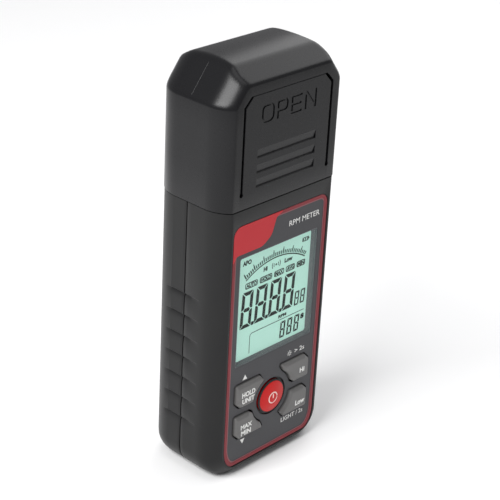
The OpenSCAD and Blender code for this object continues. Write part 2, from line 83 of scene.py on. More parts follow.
def half_at(y, half=body_half, inset=0.0):
    """Half width of the cross-section at depth y"""
    for past, r, corner_y in ((y < front_corner_y, front_r, front_corner_y),
                              (y > back_corner_y, back_r, back_corner_y)):
        if past:
            return half - r + math.sqrt(max(0, (r - inset) ** 2 - (y - corner_y) ** 2))
    return half - inset


def soft_max(a, b, blend):
    """The larger of two heights, with a fillet where they cross"""
    h = max(blend - abs(a - b), 0) / blend
    return max(a, b) + h * h * blend / 4


def foot_at(y):
    """Height of the underside at depth y"""
    if y > back_y - back_round:
        return back_round - math.sqrt(max(0, back_round ** 2 - (y - back_y + back_round) ** 2))
    return soft_max(0, front_y + foot_chamfer - y, 0.6)


def corner_at(y):
    """Radius of the lower corners at depth y"""
    if y < front_corner_y:
        return low_r - (front_corner_y - y) / front_reach
    if y > back_corner_y:
        return low_r - 2 * ((y - back_corner_y) / back_r) ** 3
    return low_r


side_levels = sorted((top + dz for top in groove_tops for dz, _ in groove_cut), reverse=True)


def groove_depth(y, z):
    """How far a finger groove lies below the side at this place; it runs out to the front"""
    if groove_y[0] < y < groove_y[1]:
        for top in groove_tops:
            for dz, depth in groove_cut:
                if abs(z - top - dz) < 1e-6:
                    return depth * min(1, (y - groove_y[0]) / groove_fade)
    return 0.0


def shell_ring(y, half, low, high=shoulder_z, foot=(low_r, low_r), crown=0.0, cut=True):
    """Closed outline in X and Z at depth y, always in the same number of points; foot and
    crown are the radii of its lower and upper corners, and cut adds the finger grooves"""
    rx, rz = foot
    side = [(half - cut * groove_depth(y, z), z) for z in side_levels]
    lower = [(half - rx + rx * math.cos(t), low + rz - rz * math.sin(t)) for t in turn]
    upper = [(half - crown + crown * math.cos(t), high - crown + crown * math.sin(t))
             for t in turn]
    right = lower[::-1] + side[::-1] + upper
    return [(x, y, z) for x, z in right] + [(-x, y, z) for x, z in right[::-1]]


def sweep(rings, closed=False):
    """Faces between rings of equally many points, and over both ends unless it is closed"""
    n = len(rings[0])
    points = [p for ring in rings for p in ring]
    count = len(rings) if closed else len(rings) - 1
    faces = []
    for i in range(count):
        a, b = i * n, (i + 1) % len(rings) * n
        faces += [(a + k, a + (k + 1) % n, b + (k + 1) % n, b + k) for k in range(n)]
    if not closed:
        faces.append(tuple(range(n)))
        faces.append(tuple((len(rings) - 1) * n + k for k in range(n)))
    return points, faces


def along_y(a, b, depth):
    """Places an (x, z) outline at a depth"""
    return a, depth, b


def along_z(a, b, depth):
    """Places an (x, y) outline at a height"""
    return a, b, depth


def inset(outline, m):
    """An anticlockwise outline moved inwards by m"""
    moved = []
    for i, place in enumerate(outline):
        before, after = outline[i - 1], outline[(i + 1) % len(outline)]
        u = (Vector(place) - Vector(before)).normalized()
        v = (Vector(after) - Vector(place)).normalized()
        share = m / max(0.3, 1 + u.dot(v))
        moved.append((place[0] - (u.y + v.y) * share, place[1] + (u.x + v.x) * share))
    return moved


def rounded(corners, steps=5):
    """Anticlockwise outline through (a, b, radius) corners, each turned into an arc"""
    outline = []
    for i, (a, b, r) in enumerate(corners):
        p = Vector((a, b))
        u = (p - Vector(corners[i - 1][:2])).normalized()
        v = (Vector(corners[(i + 1) % len(corners)][:2]) - p).normalized()
        angle = math.atan2(u.x * v.y - u.y * v.x, u.dot(v))
        if r == 0 or abs(angle) < 0.01:
            outline.append((a, b))
            continue
        side = math.copysign(1, angle)
        start = p - u * r * math.tan(abs(angle) / 2)
        centre = start + Vector((-u.y, u.x)) * side * r
        for k in range(steps + 1):
            arm = Matrix.Rotation(angle * k / steps, 2) @ (start - centre)
            outline.append(tuple(centre + arm))
    return outline


def box_outline(a0, a1, b0, b1, r=0.0):
    """Rectangle with corners of radius r"""
    return rounded([(a0, b0, r), (a1, b0, r), (a1, b1, r), (a0, b1, r)])


def circle(a, b, r, n=32):
    """Circle of n points about (a, b)"""
    return [(a + r * math.cos(2 * math.pi * k / n), b + r * math.sin(2 * math.pi * k / n))
            for k in range(n)]


def plate(outer, holes, low, high, soft=0.0, to=along_y):
    """Closed flat piece with holes; soft rounds the edges of the face at low"""
    steps = [(high, 0.0), (low, 0.0)]
    if soft:
        inward = math.copysign(soft, high - low)
        steps = [(high, 0.0)] + [(low + inward * (1 - math.sin(t)), soft * (1 - math.cos(t)))
                                 for t in turn[::2]]
    points, faces, starts = [], [], []
    for depth, m in steps:
        starts.append(len(points))
        for loop, side in [(outer, 1)] + [(hole, -1) for hole in holes]:
            points += [to(a, b, depth) for a, b in (inset(loop, m * side) if m else loop)]
    at = 0
    for loop in [outer] + holes:
        n = len(loop)
        for i in range(len(steps) - 1):
            a, b = starts[i] + at, starts[i + 1] + at
            faces += [(a + k, a + (k + 1) % n, b + (k + 1) % n, b + k) for k in range(n)]
        at += n
    for start in (starts[0], starts[-1]):
        loops, i = [], start
        for loop in [outer] + holes:
            loops.append([Vector(points[i + k]) for k in range(len(loop))])
            i += len(loop)
        faces += [tuple(start + k for k in face) for face in tessellate_polygon(loops)]
    return points, faces


def together(*shapes):
    """Several closed shapes as one"""
    points, faces = [], []
    for more_points, more_faces in shapes:
        faces += [tuple(len(points) + k for k in face) for face in more_faces]
        points += more_points
    return points, faces


def soften(mesh, crease=32):
    """Smooth shading that stops at edges sharper than crease, in degrees"""
    work = bmesh.new()
    work.from_mesh(mesh)
    bmesh.ops.remove_doubles(work, verts=work.verts, dist=2e-6)
    bmesh.ops.dissolve_degenerate(work, edges=work.edges, dist=1e-6)
    bmesh.ops.recalc_face_normals(work, faces=work.faces)
    for face in work.faces:
        face.smooth = True
    for edge in work.edges:
        edge.smooth = edge.calc_face_angle(0) < math.radians(crease)
    work.to_mesh(mesh)
    work.free()


def loose(name, shape):
    """A mesh object from a shape in millimetres"""
    mesh = bpy.data.meshes.new(name)
    mesh.from_pydata([tuple(c * MM for c in p) for p in shape[0]], [], shape[1])
    soften(mesh)
    obj = bpy.data.objects.new(name, mesh)
    bpy.context.scene.collection.objects.link(obj)
    return obj


def carve(obj, *cutters):
    """Cuts closed shapes out of obj"""
    for shape in cutters:
        tool = loose("tool", shape)
        cut = obj.modifiers.new("cut", "BOOLEAN")
        cut.operation, cut.solver, cut.object = "DIFFERENCE", "EXACT", tool
        bpy.context.view_layer.update()
        done = obj.evaluated_get(bpy.context.evaluated_depsgraph_get())
        obj.data = bpy.data.meshes.new_from_object(done)
        obj.modifiers.clear()
        bpy.data.objects.remove(tool)
    soften(obj.data)


def coat(obj, material):
    """Gives a piece its one material"""
    obj.data.materials.clear()
    obj.data.materials.append(material)


def dress(obj, material, body, slot, *nodes):
    """Gives a piece its material and its body, and hides the CAD nodes it stands for; slot is not
    used
    """
    coat(obj, material)
    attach(obj, body)
    if nodes:
        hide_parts(*nodes)


def colour(code):
    """A linear colour from sRGB hex"""
    parts = [int(code[i:i + 2], 16) / 255 for i in (0, 2, 4)]
    return [c / 12.92 if c <= 0.04045 else ((c + 0.055) / 1.055) ** 2.4 for c in parts] + [1.0]


def add(material, kind, inputs=None, **settings):
    """Adds one node; an input is a plain value, or another node's output to link"""
    made = material.node_tree.nodes.new("ShaderNode" + kind)
    for key, value in settings.items():
        setattr(made, key, value)
    for key, value in (inputs or {}).items():
        if isinstance(value, bpy.types.NodeSocket):
            material.node_tree.links.new(value, made.inputs[key])
        else:
            made.inputs[key].default_value = value
    return made


def finish(name, tones, roughness, grain, bump, ior=1.5, specular=0.5, patch=12.0, spread=0.06,
           **more):
    """A surface with a fine grain over slow patches of two tones. Grain and patch are sizes
    and bump is a height, in mm; roughness varies by spread; more sets further inputs"""
    material = bpy.data.materials.new(name)
    material.use_nodes = True
    material.node_tree.nodes.clear()
    place = add(material, "TexCoord").outputs["Object"]
    slow = add(material, "TexNoise", {"Vector": place, "Scale": 1 / (patch * MM), "Detail": 3.0})
    fine = add(material, "TexNoise", {"Vector": place, "Scale": 1 / (grain * MM), "Detail": 2.0,
                                      "Roughness": 0.6})
    tone = add(material, "Mix", {"Factor": slow.outputs["Fac"]}, data_type="RGBA")
    tone.inputs[6].default_value, tone.inputs[7].default_value = map(colour, tones)
    sheen = add(material, "MapRange", {
        "Value": fine.outputs["Fac"], "To Min": roughness - spread, "To Max": roughness + spread})
    relief = add(material, "Bump", {"Height": fine.outputs["Fac"], "Strength": 1.0,
                                    "Distance": bump * MM})
    shader = add(material, "BsdfPrincipled", {
        "Base Color": tone.outputs[2], "Roughness": sheen.outputs["Result"],
        "Normal": relief.outputs["Normal"], "IOR": ior, "Specular IOR Level": specular, **more})
    add(material, "OutputMaterial", {"Surface": shader.outputs["BSDF"]})
    return material


# Moulded ABS: the tool's fine texture breaks reflections into a soft satin sheen. The real
# grain is under 0.1 mm, so it is drawn at half a millimetre to show
shell_abs = finish("moulded black ABS", ("131315", "191918"), 0.4, 0.55, 0.012, specular=0.27)

# Rounded edge at the parting line, as (depth, inset)
parting_edge = [(-parting, 0.28), (-parting - 0.08, 0.08), (-parting - 0.28, 0.0)]
front_rings = [shell_ring(y, body_half - m, m, foot=(low_r - m, low_r - m))
               for y, m in parting_edge]
for y in (-2, -4, -6, groove_y[0] + 0.05, groove_y[0] - 0.02, front_corner_y):
    front_rings.append(shell_ring(y, body_half, 0))
crease_turn = math.degrees(math.asin(front_reach / front_r))
for k in range(1, 10):
    y = front_corner_y - front_r * math.sin(math.radians((crease_turn - 3) * k / 9))
    front_rings.append(shell_ring(y, half_at(y), foot_at(y), foot=[corner_at(y)] * 2))
# The last degrees of the corner turn into the flat face along a short curve
edge_y, edge_half, edge_low = y, half_at(y), foot_at(y)
crease_half = half_at(front_y)
for t in (0.25, 0.5, 0.75, 1.0):
    a, b, c = (1 - t) ** 2, 2 * t * (1 - t), t ** 2
    front_rings.append(shell_ring(
        a * edge_y + (b + c) * front_y, a * edge_half + b * crease_half + c * (crease_half - 0.5),
        a * edge_low + b * foot_chamfer + c * (foot_chamfer + 0.5), foot=[9 - 0.3 * t] * 2))

panel_half, panel_z = 24.4, (4.5, 104.3)
panel_foot, panel_crown, panel_gap, panel_ledge = (4.8, 8.5), 4.0, 0.1, 1.9


def panel_ring(y, m):
    """Ring round the printed panel, m inside its outline"""
    return shell_ring(y, panel_half - m, panel_z[0] + m, panel_z[1] - m,
                      [r - m for r in panel_foot], panel_crown - m)


front_rings += [panel_ring(y, m) for y, m in (
    (front_y, -0.3), (front_y + 0.06, -0.14), (front_y + 0.2, -panel_gap),
    (panel_back_y, -panel_gap), (panel_back_y, panel_ledge), (wall_y, panel_ledge))]
inner_low, inner_r = 5.5, 7.8
for k in range(9):
    y = wall_y + (-parting - wall_y) * k / 8
    front_rings.append(shell_ring(y, half_at(y, inset=wall), inner_low, shoulder_z - wall,
                                  (inner_r, inner_r), cut=False))
front_sweep = sweep(front_rings, closed=True)


# Raised part of both shells that the cap covers, with the pocket that the cap's
# release tongue springs into and the opening over the optics.
head_top, head_roof, pocket_half, pocket_z = 145.0, 143.0, 22.8, 117.4
pocket_y, pocket_back_y = wall_y + 2.4, wall_y + 4.2
head_inset, head_wall = 2.4, 1.8


def arc_side(m, y_cut, direction):
    """Right side of the head's outline, m inside the shell's, from the parting plane round
    to the middle; direction is -1 for the front shell and 1 for the rear one"""
    corner_r, corner_y, face_y = ((front_r, front_corner_y, front_y) if direction < 0
                                  else (back_r, back_corner_y, back_y))
    r = corner_r - m
    stop = math.asin(min(1.0, abs(face_y - direction * m - corner_y) / r))
    return [(body_half - m, y_cut)] + [
        (body_half - corner_r + r * math.cos(stop * k / 10),
         corner_y + direction * r * math.sin(stop * k / 10)) for k in range(11)]


def half_wall(outer_side, inner_side):
    """Closed outline of half a hollow wall from its right sides, outer and inner"""
    outer = outer_side + [(-x, y) for x, y in outer_side[::-1]]
    inner = inner_side + [(-x, y) for x, y in inner_side[::-1]]
    return outer + inner[::-1]


def anticlockwise(outline):
    """The outline, turned round if it runs clockwise"""
    area = sum(a[0] * b[1] - b[0] * a[1] for a, b in zip(outline, outline[1:] + outline[:1]))
    return outline if area > 0 else outline[::-1]


def head_wall_shape(outer_side, inner_side, low, high):
    """Half of a hollow wall that stands from low to high"""
    return plate(anticlockwise(half_wall(outer_side, inner_side)), [], low, high, to=along_z)


front_out, front_in = (arc_side(m, -parting, -1) for m in (head_inset, head_inset + head_wall))
pocket_out = [p for p in front_out if p[0] > pocket_half] + [
    (pocket_half, front_out[-1][1]), (pocket_half, pocket_y)]
pocket_in = [p for p in front_in if p[0] > pocket_half + 1] + [
    (pocket_half + 1, front_in[-1][1]), (pocket_half + 1, pocket_back_y)]
optic_half, optic_y = 19.0, (-7.0, 9.0)
notch = [(optic_half, -parting), (optic_half, optic_y[0])]
catch_bar = plate(box_outline(-8, 8, 142.4, 144.4, 0.5), [], pocket_y - 1.2, pocket_y + 0.5,
                  soft=0.3)
front_head = together(
    head_wall_shape(front_out, front_in, shoulder_z - wall, pocket_z),
    head_wall_shape(pocket_out, pocket_in, pocket_z, head_top),
    head_wall_shape(pocket_out, notch, head_roof, head_top - 0.01), catch_bar)

# Wall behind the printed panel, with the openings for the display and the keys. The keys
# stand round the power key, so their inner edges are arcs about it.
power_z, key_half, key_z0, key_z1, key_corner, key_arc_r = 27.4, 19.6, 29.2, 39.0, 2.4, 10.4


def key_arc(r, a0, a1):
    """Arc about the power key from angle a0 to a1, as corners without a radius"""
    angles = [math.radians(a0 + (a1 - a0) * i / 8) for i in range(9)]
    return [(r * math.cos(a), power_z + r * math.sin(a), 0) for a in angles]


def blunt_key(m):
    """Outline of the upper left key, m inside its edge, with (x, z, radius) corners"""
    r = max(0.25, 0.9 - m)
    return [(m - key_half, key_z1 - m, r), (m - key_half, key_z0 + key_corner + 0.4 * m, r),
            (key_corner - key_half + 0.4 * m, key_z0 + m, r),
            *key_arc(key_arc_r + m, 170 - 4 * m, 118 + 3 * m),
            (-6.9 - 0.4 * m, key_z1 - m, r * 0.6)]


def sharp_key(m):
    """Outline of the upper right key"""
    r = max(0.25, 0.9 - m)
    return [(12 + m, key_z0 + m, r * 0.6), (key_half - m, key_z0 + m, r),
            (key_half - m, key_z1 - key_corner - 0.4 * m, r),
            (key_half - key_corner - 0.4 * m, key_z1 - m, r),
            (4.5 + 2 * m, key_z1 - m, r * 0.6),
            *key_arc(key_arc_r + 0.2 + m, 57 - 3 * m, 17 + 4 * m)]


def opposite(corners):
    """Half a turn about the power key"""
    return [(-x, 2 * power_z - z, r) for x, z, r in corners]


key_flange = 0.8
power_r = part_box("power_key")[1].x / MM - key_flange
key_shapes = {
    "hold_key": blunt_key, "hi_key": sharp_key,
    "low_key": lambda m: opposite(blunt_key(m)),
    "max_min_key": lambda m: opposite(sharp_key(m))}


def key_holes(gap, round_gap):
    """Openings with a gap round the four grey keys and one round the power key"""
    return [rounded(shape(-gap)) for shape in key_shapes.values()] + [
        circle(0, power_z, power_r + round_gap, 64)]


front_wall = plate(
    box_outline(-23, 23, 6, 102.8, 2),
    key_holes(0.45, 0.45) + [box_outline(-21.6, 21.6, 45.4, 92.7)],
    panel_back_y + 0.02, wall_y - 0.02)
screw_places = [(side * x, z) for x, z in ((18.5, 8.7), (21.4, 98.0)) for side in (-1, 1)]
boss_r, pilot_r = 2.9, 1.1
front_bosses = [plate(circle(x, z, boss_r), [circle(x, z, pilot_r)], -parting, wall_y - 0.5)
                for x, z in screw_places]
front_shell = loose("front_shell", together(front_sweep, front_head, front_wall, *front_bosses))
dress(front_shell, shell_abs, "body", "shell_black", "front_housing")


# Rear shell of the same ABS, screwed to the front one from behind. It has the rounded
# back edge, the opening for the battery door and the bay for three AAA cells.
rear_rings = []
for k in range(9):
    y = parting + (back_y - wall - parting) * (1 - k / 8)
    low = max(inner_low, foot_at(y) + 2)
    rear_rings.append(shell_ring(y, half_at(y, inset=wall), low, shoulder_z - wall, (7.2, 7.2),
                                 cut=False))
rear_rings += [shell_ring(-y, body_half - m, m, foot=(low_r - m, low_r - m))
               for y, m in parting_edge]
for y in (1.5, 3.2, 5, back_corner_y, groove_y[1] - 0.02):
    rear_rings.append(shell_ring(y, body_half, 0))
for k in range(1, 13):
    y = back_corner_y + back_r * math.sin(math.radians(88 * k / 12))
    rear_rings.append(shell_ring(y, half_at(y), foot_at(y), foot=[corner_at(y)] * 2))
rear_rings.append(shell_ring(back_y, 18.0, back_round + 0.2, foot=(7.6, 7.6)))
door_half, door_z, door_t, door_gap = 17.6, (13.0, 72.0), 2.0, 0.4
sink_r, sink_y, clear_r, sleeve_r = 2.6, 8, 1.35, 2.95
rear_shell = loose("rear_shell", sweep(rear_rings))
carve(rear_shell,
      plate(box_outline(-door_half - door_gap, door_half + door_gap, door_z[0] - door_gap,
                        door_z[1] + door_gap, 1.2), [], back_y - wall - 0.5, back_y + 1),
      *[plate(circle(x, z, sink_r), [], sink_y, back_y + 1) for x, z in screw_places])

# Bay for the cells, the seat of the door with its screw boss, and the four screw sleeves
bay_half, bay_z, bay_floor_y, bay_wall = 17.2, (14.8, 64.2), 3.2, 1.2
door_screw_z, seat_y = 67.0, back_y - door_t - 0.3
bay = box_outline(-bay_half, bay_half, *bay_z, 0.6)
bay_outside = box_outline(-bay_half - bay_wall, bay_half + bay_wall, bay_z[0] - bay_wall,
                          bay_z[1] + bay_wall, 1)
door_screw_hole = circle(0, door_screw_z, clear_r)
rear_inside = [
    plate(bay_outside, [bay], bay_floor_y, back_y - door_t - 1),
    plate(bay_outside, [], bay_floor_y - bay_wall, bay_floor_y),
    plate(box_outline(-19.2, 19.2, door_z[0] - 1.6, door_z[1] + 1.6, 1.6),
          [bay, door_screw_hole], seat_y, back_y - door_t - 2),
    plate(circle(0, door_screw_z, 3), [door_screw_hole], bay_floor_y + 3, seat_y)]
for x, z in screw_places:
    rear_inside.append(plate(circle(x, z, sleeve_r), [circle(x, z, sink_r)], sink_y,
                             back_y - 2.6))
    rear_inside.append(plate(circle(x, z, sleeve_r), [circle(x, z, clear_r)], parting, sink_y))

# Lip that reaches into the front shell and closes the parting line
lip_half, lip_low, lip_t, lip_top, lip_r = 27.7, 5.6, 0.8, 104.0, 7.7
rear_inside.append(plate(rounded([
    (-lip_half, lip_top, 0), (-lip_half, lip_low, lip_r), (lip_half, lip_low, lip_r),
    (lip_half, lip_top, 0), (lip_half - lip_t, lip_top, 0),
    (lip_half - lip_t, lip_low + lip_t, lip_r - lip_t),
    (lip_t - lip_half, lip_low + lip_t, lip_r - lip_t), (lip_t - lip_half, lip_top, 0)]),
    [], 1.6, -1.4))
rear_out, rear_in = (arc_side(m, parting, 1) for m in (head_inset, head_inset + head_wall))
rear_notch = [(optic_half, parting), (optic_half, optic_y[1])]
rear_inside += [head_wall_shape(rear_out, rear_in, shoulder_z - wall, head_top),
                head_wall_shape(rear_out, rear_notch, head_roof, head_top - 0.01)]


def merge(obj, shape):
    """Adds closed shapes to the mesh of obj"""
    extra = loose("extra", shape)
    work = bmesh.new()
    work.from_mesh(obj.data)
    work.from_mesh(extra.data)
    work.to_mesh(obj.data)
    work.free()
    bpy.data.objects.remove(extra)


merge(rear_shell, together(*rear_inside))
dress(rear_shell, shell_abs, "body", "shell_black", "rear_housing")


# Cap of black ABS that slides down over the head. Its roof is crowned, with wide bevels
# at the sides and shallow ones front and back, and a fine mould line runs over each side.
cap_half, seam_z, cap_wall, cavity_z = 30.3, 110.3, 2.0, 147.4
cap_shoulder_z, ridge_z, total_z = 148.4, 155.3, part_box("cap")[1].z / MM
crown_drop, end_slope, side_slope = 0.8, 0.594, 1.3
middle_y = (front_y + back_y) / 2
half_d = back_y - middle_y


def cap_outline(m):
    """The cap's cross-section, m inside, from the middle of the front all the way round"""
    stop = math.asin((front_reach - m) / (front_r - m))
    edge = cap_half - front_r + (front_r - m) * math.cos(stop)
    right = [(edge * k / 22, front_y + m) for k in range(1, 22)]
    right += [(edge - 0.42, front_y + m), (edge - 0.12, front_y + m + 0.04)]
    right += [(cap_half - front_r + (front_r - m) * math.cos(stop * (1 - t)),
               front_corner_y - (front_r - m) * math.sin(stop * (1 - t)))
              for t in (0.03, 0.1, 0.2, 0.3, 0.4, 0.5, 0.6, 0.7, 0.8, 0.9, 1)]
    right += [(cap_half - m, y)
              for y in (-6.5, -4.5, -2.5, -1, -0.16, -0.05, 0.05, 0.16, 1, 3, 5)]
    right += [(cap_half - back_r + (back_r - m) * math.cos(math.radians(90 * k / 12)),
               back_corner_y + (back_r - m) * math.sin(math.radians(90 * k / 12)))
              for k in range(13)]
    right += [((cap_half - back_r) * (1 - k / 14), back_y - m) for k in range(1, 14)]
    left = [(-x, y) for x, y in right[::-1]]
    return [(0.0, front_y + m)] + right + [(0.0, back_y - m)] + left


def soft_min(a, b, blend):
    """The smaller of two heights, with a fillet where they cross"""
    return -soft_max(-a, -b, blend)


def roof(x, y):
    """Height of the cap's roof: the lowest of its crown, its end bevels and side bevels"""
    away = abs(y - middle_y)
    crown = total_z - crown_drop * (away / 10) ** 2
    ends = ridge_z + end_slope * (half_d - away)
    side = cap_shoulder_z + side_slope * (half_at(y, cap_half) - abs(x))
    middle = min(1.0, max(0.0, (half_d - away) / 9))
    return soft_min(soft_min(crown, ends, 0.5), side, 0.8 + 1.5 * middle)


def ring_at(outline, height):
    """Ring at one height, or at the height that a function gives for each place"""
    return [(x, y, height(x, y) if callable(height) else height) for x, y in outline]


def shrunk(outline, share, share_y):
    """Outline drawn in towards the cap's middle, to a share of its size in X and in Y"""
    return [(x * share, middle_y + (y - middle_y) * share_y) for x, y in outline]


# Rings from the roof of the cavity, down inside, round the rim and up the outside
cavity = shrunk(cap_outline(cap_wall), 19 / (cap_half - cap_wall), 11.2 / (half_d - cap_wall))
cap_rings = [ring_at(cavity, 156), ring_at(cavity, cavity_z)] + [
    ring_at(cap_outline(m), z) for m, z in (
        (cap_wall, cavity_z), (cap_wall, seam_z + 0.25), (cap_wall - 0.2, seam_z), (0.3, seam_z),
        (0.08, seam_z + 0.08), (0, seam_z + 0.3), (0, 125), (0, 140))]
edge_round, roof_rings = 0.9, 44
for t in turn[::2]:
    m = edge_round * (1 - math.cos(t))
    sunk = edge_round * (1 - math.sin(t))
    cap_rings.append(ring_at(cap_outline(m), lambda x, y: roof(x, y) - sunk))
for k in range(1, roof_rings):
    share = 1 - k / roof_rings
    cap_rings.append(ring_at(shrunk(cap_outline(edge_round), share, share), roof))
cap_shell = loose("cap_shell", sweep(cap_rings))

# Opening for the release tongue: two slits with round ends, joined by a hairline gap
# at the top; between the slits' lower ends the tongue bends out of the cap's own wall
slit_half, slit_w, slit_end_r, hinge_z = 21.3, 1.1, 0.85, 116.2
tongue_top, tongue_corner = 150.8, 3.4
slit_mid = slit_half + slit_w / 2
slit_end = [(slit_mid + slit_end_r * math.cos(math.radians(a)),
             hinge_z - 0.2 + slit_end_r * math.sin(math.radians(a))) for a in range(166, 375, 16)]
opening = slit_end + [
    (slit_half + slit_w, hinge_z + 0.7), (slit_half + slit_w, tongue_top - 3.0),
    (slit_half + slit_w - tongue_corner, tongue_top + 0.4)]
opening += [(-x, z) for x, z in opening[::-1]]
carve(cap_shell, plate(opening, [], front_y - 1, front_y + cap_wall + 1.9))
# Finer texture than on the shells, so the cap's bevels carry a clearer reflection
cap_abs = finish("moulded black ABS of the cap", ("0f0f11", "141416"), 0.28, 0.6, 0.0015,
                 spread=0.02, specular=0.26)
dress(cap_shell, cap_abs, "cap", "cap_black", "cap")

# Mould line: a bead of a tenth of a millimetre over each side bevel, left where the two
# halves of the tool meet
bead_start, bead_step, bead_half, bead_rise = 29.6, 0.4, 0.16, 0.1
beads = []
for side in (-1, 1):
    xs = [bead_start - bead_step * k for k in range(20)]
    beads.append(sweep([[(side * x, y, roof(x, y) + rise)
                         for y, rise in ((-bead_half, -0.06), (0, bead_rise), (bead_half, -0.06))]
                        for x in xs]))
mould_line = loose("cap_mould_line", together(*beads))
dress(mould_line, cap_abs, "cap", "cap_black")


# Release tongue in the cap's face: the same ABS, with the word OPEN sunk into it and
# three wedge-shaped recesses for the thumb.
tongue = [(slit_end[0][0], slit_end[0][1] - 0.15), (slit_half, hinge_z + 0.7),
          (slit_half, tongue_top - tongue_corner), (slit_half - tongue_corner, tongue_top + 0.22)]
tongue += [(-x, z) for x, z in tongue[::-1]]
tongue_plate = loose("cap_tongue_face", plate(tongue, [], front_y, front_y + cap_wall, soft=0.15))
letter_z, letter_h, letter_depth, stroke = 140.15, 6.7, 0.35, 0.8
letter_xs = (-13.6, -6.0, 1.0, 8.0)


def word_open():
    """Cutters for the letters O, P, E and N, each from an outline and its holes"""
    s, h, mid = stroke, letter_h, letter_h / 2
    o = (box_outline(0, 6.2, 0, h, 2.2), [box_outline(s, 6.2 - s, s, h - s, 1.4)])
    p = (rounded([(0, 0, 0), (s, 0, 0), (s, 2.4, 0), (5.4, 2.4, 1.6), (5.4, h, 1.6),
                  (0, h, 0.4)]), [box_outline(s, 5.4 - s, 2.4 + s, h - s, 0.8)])
    e = (rounded([(0, 0, 0.4), (5.4, 0, 0), (5.4, s, 0), (s, s, 0), (s, mid - s / 2, 0),
                  (5.1, mid - s / 2, 0), (5.1, mid + s / 2, 0), (s, mid + s / 2, 0),
                  (s, h - s, 0), (5.4, h - s, 0), (5.4, h, 0), (0, h, 0.4)]), [])
    n = (rounded([(0, 0, 0), (s, 0, 0), (s, h - 1.5, 0), (5.0, 0, 0), (5.9, 0, 0), (5.9, h, 0),
                  (5.9 - s, h, 0), (5.9 - s, 1.5, 0), (0.9, h, 0), (0, h, 0)]), [])
    for at, (outline, holes) in zip(letter_xs, (o, p, e, n)):
        moved = [[(x + at, z + letter_z) for x, z in loop] for loop in [outline] + holes]
        yield plate(moved[0], moved[1:], front_y - 0.5, front_y + letter_depth)


# Each recess is deepest near its lower edge and runs out upwards
grip_half, grip_depth, grip_length, grip_zs = 14.8, 0.55, 3.2, (117.0, 122.3, 127.9)
grip_section = [(-0.5, -0.1), (0, -0.1), (grip_depth, 0.2), (0, grip_length), (-0.5, grip_length)]
grips = [sweep([[(x, front_y + y, z + dz) for y, dz in grip_section]
                for x in (-grip_half, grip_half)]) for z in grip_zs]
carve(tongue_plate, *word_open(), *grips)
catch = plate(box_outline(-6, 6, 139.4, 141.4, 0.4), [], front_y + cap_wall + 1,
              front_y + cap_wall - 0.5)
merge(tongue_plate, catch)
soften(tongue_plate.data, crease=8)
coat(tongue_plate, cap_abs)
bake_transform(tongue_plate)
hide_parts("cap_tongue")


# Printed panel: a matt polycarbonate overlay, screen printed, glued into its seat. It has
# a raised dull red rim, a red patch in its upper corner and small white legends.
panel_y = front_y + 0.4


def panel_outline(m):
    """Outline of the panel, m inside its edge"""
    half, low, high = panel_half - m, panel_z[0] + m, panel_z[1] - m
    rx, rz, crown = panel_foot[0] - 0.4 * m, panel_foot[1] - 0.5 * m, max(0.6, panel_crown - m)
    lower = [(half - rx + rx * math.cos(t), low + rz - rz * math.sin(t)) for t in turn[::-1]]
    upper = [(half - crown + crown * math.cos(t), high - crown + crown * math.sin(t))
             for t in turn]
    return lower + upper + [(-x, z) for x, z in (lower + upper)[::-1]]


window_half, window_z = 20.3, (46.9, 91.2)
window_hole = box_outline(-window_half, window_half, *window_z, 0.8)
panel = loose("panel_sheet", plate(panel_outline(0), key_holes(0.62, 1.15) + [window_hole],
                                   panel_back_y, panel_y, soft=0.12))
# Matt film: no clear reflection, and a little paler than the shell round it
panel_film = finish("matt printed overlay", ("3a3a3d", "424245"), 0.5, 0.35, 0.004, patch=30,
                    specular=0.35)
dress(panel, panel_film, "body", "panel_grey", "front_panel")

# The rim is two beads side by side: a wide dark red one and, inside it, a narrow paler one;
# its pale red along the rim's inner edge is a painted highlight
sunk_y = panel_y + 0.05
rim_red = finish("dull red printed rim", ("7a1e26", "862730"), 0.42, 0.4, 0.004, patch=18,
                 specular=0.3)
# Pale red of the inner bead is a painted highlight along the rim's edge
rim_painted_highlight = finish("red rim edge paled by painted highlight", ("7e434a", "884d53"), 0.4, 0.4, 0.004, patch=18)
for name, ink, m0, m1, rise in (("panel_rim", rim_red, 0.2, 1.5, 0.22),
                                ("panel_rim_edge", rim_painted_highlight, 1.55, 1.95, 0.12)):
    rim = loose(name, plate(panel_outline(m0), [panel_outline(m1)], sunk_y, panel_y - rise,
                            soft=rise * 0.8))
    dress(rim, ink, "body", "panel_grey")

# Red patch over the rim's upper left corner, with a swept lower edge; a second pass of ink
# makes it brighter and denser than the rim
patch_red = finish("red screen-printed ink", ("b81c26", "c2242d"), 0.45, 0.35, 0.004, patch=25,
                   specular=0.3)
patch_low, patch_left, patch_high = 92.9, -24.15, 104.05
red_patch = loose("panel_patch", plate(rounded([
    (patch_left, 90.6, 0), (patch_left + 0.5, 90.6, 0), (-22.5, patch_low, 1.6),
    (-9.5, patch_low, 5), (-5.0, 95.8, 5), (-2.8, 102.3, 1.5), (0.2, patch_high - 0.4, 0),
    (0.2, patch_high, 0), (patch_left, patch_high, 3.8)]), [], sunk_y, panel_y - 0.25, soft=0.18))
dress(red_patch, patch_red, "body", "panel_grey")


